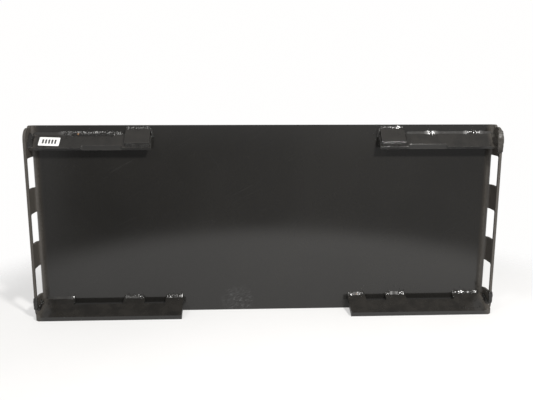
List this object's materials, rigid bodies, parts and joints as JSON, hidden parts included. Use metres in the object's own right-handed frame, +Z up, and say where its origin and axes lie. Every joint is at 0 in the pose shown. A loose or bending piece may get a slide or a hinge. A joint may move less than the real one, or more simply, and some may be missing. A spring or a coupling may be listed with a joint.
{
  "type": "skid steer attachment mounting plate",
  "caption": "Weld-on mounting plate for a skid steer quick coupler: formed black steel plate with slotted side flanges, sloped top and bottom lips and a blank label.",
  "frame": {"origin": "middle of the rear weld face's bottom edge", "axes": "+X to the right seen from the machine side, +Y out of the rear weld face towards the attachment, +Z up"},
  "size_m": [1.156, 0.0728, 0.478],
  "materials": {
    "black_paint": "semi-gloss black enamel",
    "weld_bead": "glossy black enamel over rough weld beads",
    "label_paper": "matt white"
  },
  "bodies": {
    "root": {"back_plate": "black_paint", "top_lip_left": "black_paint", "top_lip_right": "black_paint", "top_doubler_left": "black_paint", "top_doubler_right": "black_paint", "bottom_lip_left": "black_paint", "bottom_lip_right": "black_paint", "label": "label_paper", "top_root_weld_left": "weld_bead", "top_root_weld_right": "weld_bead", "top_end_weld_left": "weld_bead", "top_end_weld_right": "weld_bead", "doubler_weld_left": "weld_bead", "doubler_weld_right": "weld_bead", "flange_edge_weld_right": "weld_bead", "bottom_inner_weld_left": "weld_bead", "bottom_inner_weld_right": "weld_bead", "bottom_middle_weld_left": "weld_bead", "bottom_middle_weld_right": "weld_bead", "bottom_outer_weld_left": "weld_bead", "bottom_outer_weld_right": "weld_bead", "bottom_end_weld_left": "weld_bead", "bottom_end_weld_right": "weld_bead"}
  },
  "joints": []
}
